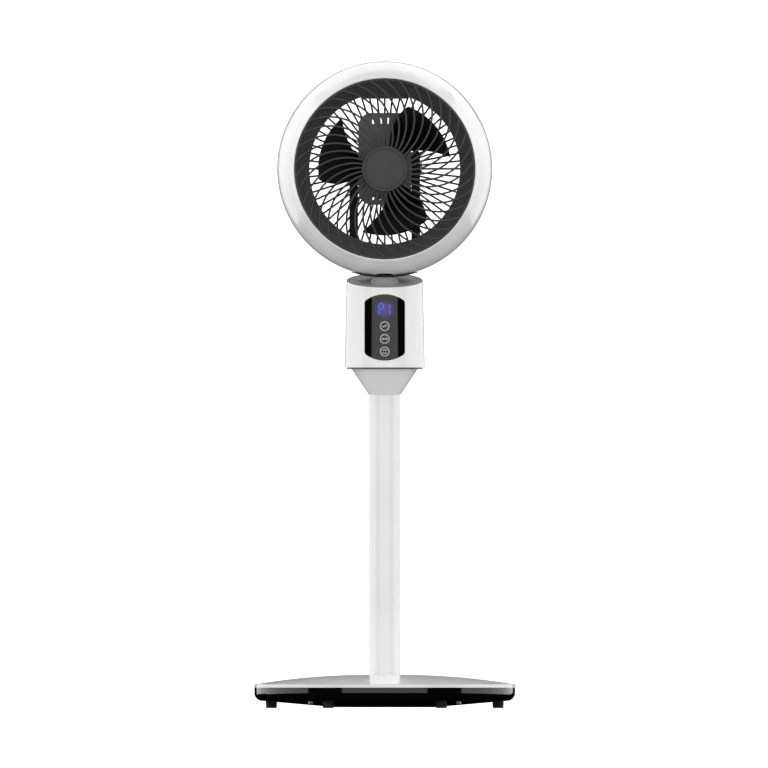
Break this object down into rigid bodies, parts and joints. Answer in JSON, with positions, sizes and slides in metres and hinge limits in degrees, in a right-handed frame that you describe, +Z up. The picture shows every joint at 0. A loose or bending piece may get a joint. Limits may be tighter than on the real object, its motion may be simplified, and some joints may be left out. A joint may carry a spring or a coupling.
{
  "type": "pedestal fan",
  "caption": "Pedestal fan with a ball-shaped head on a swinging and tilting yoke, a round control housing with a button panel, a straight pole and a round weighted base.",
  "frame": {"origin": "on the floor under the middle of the round base", "axes": "+Z up along the pole, -Y the way the fan blows, +X to the right seen from the front"},
  "size_m": [0.3912, 0.3912, 0.9703],
  "materials": {
    "white_plastic": "polished white moulding",
    "white_metal": "glossy white paint",
    "black_gloss": "polished black moulding",
    "dark_plastic": "fine texture",
    "grey_plastic": "satin",
    "rubber": "matte",
    "cast_iron": "rough",
    "steel": "machined",
    "zinc": "zinc plated",
    "brass": "sintered bearing",
    "nylon": "natural nylon",
    "aluminium": "die cast",
    "board_green": "circuit board",
    "glow_blue": "lit blue digits"
  },
  "bodies": {
    "stand": {"base_shell": "black_gloss", "base_feet": "rubber", "base_cover": "white_plastic", "base_screws": "zinc", "base_weight": "cast_iron", "pole_socket": "steel", "pole_bolt": "zinc", "pole_nut": "zinc", "power_inlet": "dark_plastic", "pole_tube": "white_metal", "pole_plug": "dark_plastic", "pole_collar": "white_plastic", "seam_ring": "dark_plastic", "housing_floor": "dark_plastic", "floor_screws": "zinc", "control_housing": "white_plastic", "neck_dish": "grey_plastic", "display_lens": "black_gloss", "display_board": "board_green", "digit_module": "glow_blue", "button_switches": "dark_plastic", "main_board": "board_green", "bridge_plate": "zinc", "neck_bearing": "brass", "swing_motor": "zinc"},
    "yoke": {"yoke_fork": "dark_plastic", "yoke_stem": "steel", "swing_gear": "nylon", "stem_clip": "zinc", "tilt_sector": "nylon"},
    "head": {"front_shell": "white_plastic", "rear_shell": "white_plastic", "handle_pocket": "dark_plastic", "front_ring": "white_plastic", "duct_ring": "dark_plastic", "front_grille": "dark_plastic", "hub_cap": "dark_plastic", "rear_grille": "dark_plastic", "rear_screws": "zinc", "pod_front_half": "dark_plastic", "pod_rear_half": "dark_plastic", "tilt_pins": "steel", "tilt_motor": "zinc", "motor_can": "zinc", "motor_endcap": "aluminium", "motor_stator": "steel", "motor_bearings": "steel"},
    "impeller_assembly": {"impeller": "dark_plastic", "motor_shaft": "steel", "motor_rotor": "steel", "spinner_nut": "dark_plastic"},
    "swing_drive_pinion": {"swing_pinion": "nylon"},
    "tilt_drive_pinion": {"tilt_pinion": "nylon"},
    "power_key": {"power_button": "black_gloss"},
    "speed_key": {"speed_button": "black_gloss"},
    "swing_key": {"swing_button": "black_gloss"}
  },
  "joints": [
    {"name": "head_swing", "type": "hinge", "parent": "stand", "child": "yoke", "pos_m": [0, 0, 0.80895], "axis": [0, 0, 1], "range_deg": [-45, 45]},
    {"name": "head_tilt", "type": "hinge", "parent": "yoke", "child": "head", "pos_m": [0, 0, 0.80895], "axis": [-1, 0, 0], "range_deg": [-8, 30]},
    {"name": "fan_spin", "type": "hinge", "parent": "head", "child": "impeller_assembly", "pos_m": [0, 0, 0.80895], "axis": [0, -1, 0], "continuous": true},
    {"name": "swing_pinion_spin", "type": "hinge", "parent": "stand", "child": "swing_drive_pinion", "pos_m": [0, 0.03375, 0.618], "axis": [0, 0, 1], "range_deg": [-130, 130]},
    {"name": "tilt_pinion_spin", "type": "hinge", "parent": "head", "child": "tilt_drive_pinion", "pos_m": [0.033, 0.03182, 0.84077], "axis": [-1, 0, 0], "range_deg": [-34, 126]},
    {"name": "power_press", "type": "slide", "parent": "stand", "child": "power_key", "axis": [0, 1, 0], "range_m": [0, 0.0008], "stiffness_N_per_m": 300},
    {"name": "speed_press", "type": "slide", "parent": "stand", "child": "speed_key", "axis": [0, 1, 0], "range_m": [0, 0.0008], "stiffness_N_per_m": 300},
    {"name": "swing_press", "type": "slide", "parent": "stand", "child": "swing_key", "axis": [0, 1, 0], "range_m": [0, 0.0008], "stiffness_N_per_m": 300}
  ],
  "couplings": [
    {"joint": "swing_pinion_spin", "follows": "head_swing", "ratio": -2.8571},
    {"joint": "tilt_pinion_spin", "follows": "head_tilt", "ratio": 4.1429}
  ]
}
